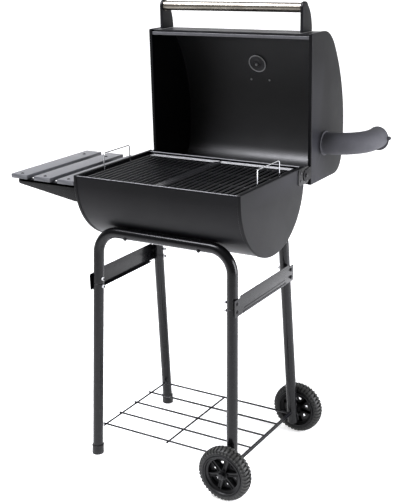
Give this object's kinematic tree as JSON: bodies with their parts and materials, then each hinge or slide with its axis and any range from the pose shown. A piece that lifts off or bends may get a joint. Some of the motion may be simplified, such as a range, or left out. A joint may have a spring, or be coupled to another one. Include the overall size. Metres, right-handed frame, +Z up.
{
  "type": "barrel charcoal grill on a tube trolley",
  "caption": "Half-barrel charcoal grill on a tube-leg trolley, with a hinged lid standing open, an elbow chimney on the lid, a slatted side shelf, a wire bottom shelf and transport wheels.",
  "frame": {"origin": "on the ground, under the middle of the grill's bounding box with the lid open", "axes": "+Z up, +X along the barrel from the side shelf towards the chimney, +Y from the cook's side to the back"},
  "size_m": [0.9546, 0.7418, 1.3493],
  "materials": {
    "heat_paint": "heat-proof black paint, satin, fine orange peel",
    "frame_paint": "black powder coat, satin",
    "grate_enamel": "black enamelled steel wire, half gloss",
    "bright_zinc": "zinc-plated steel, bright",
    "chrome_wire": "chromed steel wire",
    "stainless_tube": "stainless tube, turned and brushed round its girth",
    "black_plastic": "moulded black plastic, fine texture",
    "tyre": "moulded black tyre with side lugs",
    "painted_slat": "wood slats, dark stain with visible fine grain",
    "dial_face": "white dial with plain graduation",
    "dial_glass": "clear dial glass",
    "needle_red": "red enamel pointer"
  },
  "bodies": {
    "trolley": {"air_disc_rivet": "bright_zinc", "axle": "bright_zinc", "axle_cap_front": "black_plastic", "axle_cap_rear": "black_plastic", "firebox_left_end": "heat_paint", "firebox_right_end": "heat_paint", "firebox_wrap": "heat_paint", "foot_cap_front": "black_plastic", "foot_cap_rear": "black_plastic", "grate_rail_front": "grate_enamel", "grate_rail_rear": "grate_enamel", "hinge_bracket_left": "frame_paint", "hinge_bracket_right": "frame_paint", "hinge_pin_left": "bright_zinc", "hinge_pin_right": "bright_zinc", "leg_front_left": "frame_paint", "leg_front_right": "frame_paint", "leg_rear_left": "frame_paint", "leg_rear_right": "frame_paint", "saddle_bolt_front_left": "bright_zinc", "saddle_bolt_front_right": "bright_zinc", "saddle_bolt_rear_left": "bright_zinc", "saddle_bolt_rear_right": "bright_zinc", "shelf_bracket_front": "frame_paint", "shelf_bracket_rear": "frame_paint", "shelf_slat_1": "painted_slat", "shelf_slat_2": "painted_slat", "shelf_slat_3": "painted_slat", "side_brace_left": "frame_paint", "side_brace_right": "frame_paint", "top_frame_front": "frame_paint", "top_frame_rear": "frame_paint", "wire_shelf": "frame_paint"},
    "lid": {"badge_plate": "bright_zinc", "chimney_cap_pin": "bright_zinc", "chimney_elbow": "heat_paint", "handle_bracket_left": "frame_paint", "handle_bracket_right": "frame_paint", "handle_tube": "stainless_tube", "lid_front_stiffener": "heat_paint", "lid_left_end": "heat_paint", "lid_right_end": "heat_paint", "lid_wrap": "heat_paint", "thermometer_case": "bright_zinc", "thermometer_dial": "dial_face", "thermometer_glass": "dial_glass", "thermometer_locknut": "heat_paint", "thermometer_probe": "bright_zinc"},
    "chimney_cap": {"chimney_cap": "heat_paint"},
    "needle": {"thermometer_needle": "needle_red"},
    "grate_left": {"cooking_grate_left": "grate_enamel"},
    "grate_right": {"cooking_grate_right": "grate_enamel"},
    "tray": {"charcoal_tray": "heat_paint", "tray_handle_left": "chrome_wire", "tray_handle_right": "chrome_wire"},
    "air_disc": {"air_disc": "heat_paint"},
    "front_wheel": {"tyre_front": "tyre", "wheel_front": "black_plastic"},
    "rear_wheel": {"tyre_rear": "tyre", "wheel_rear": "black_plastic"}
  },
  "joints": [
    {"name": "lid_hinge", "type": "hinge", "parent": "trolley", "child": "lid", "pos_m": [0.04005, 0.0911, 0.857], "axis": [1, 0, 0], "range_deg": [0, 90]},
    {"name": "chimney_cap_swivel", "type": "hinge", "parent": "lid", "child": "chimney_cap", "pos_m": [0.46905, 0.3664, 0.93], "axis": [0, 1, 0], "range_deg": [-75, 9]},
    {"name": "thermometer_needle_turn", "type": "hinge", "parent": "lid", "child": "needle", "pos_m": [0.04005, 0.32612, 1.14939], "axis": [0, -0.9184, -0.3957], "range_deg": [0, 270], "stiffness_Nm_per_rad": 0.001},
    {"name": "grate_left_lift", "type": "slide", "parent": "trolley", "child": "grate_left", "axis": [0, 0, 1], "range_m": [0, 0.1]},
    {"name": "grate_right_lift", "type": "slide", "parent": "trolley", "child": "grate_right", "axis": [0, 0, 1], "range_m": [0, 0.1]},
    {"name": "charcoal_tray_lift", "type": "slide", "parent": "trolley", "child": "tray", "axis": [0, 0, 1], "range_m": [0, 0.05]},
    {"name": "air_disc_swivel", "type": "hinge", "parent": "trolley", "child": "air_disc", "pos_m": [-0.23595, -0.1069, 0.767], "axis": [1, 0, 0], "range_deg": [0, 60]},
    {"name": "wheel_front_spin", "type": "hinge", "parent": "trolley", "child": "front_wheel", "pos_m": [0.27936, -0.3434, 0.0805], "axis": [0, 1, 0], "continuous": true},
    {"name": "wheel_rear_spin", "type": "hinge", "parent": "trolley", "child": "rear_wheel", "pos_m": [0.27936, 0.1296, 0.0805], "axis": [0, 1, 0], "continuous": true}
  ]
}
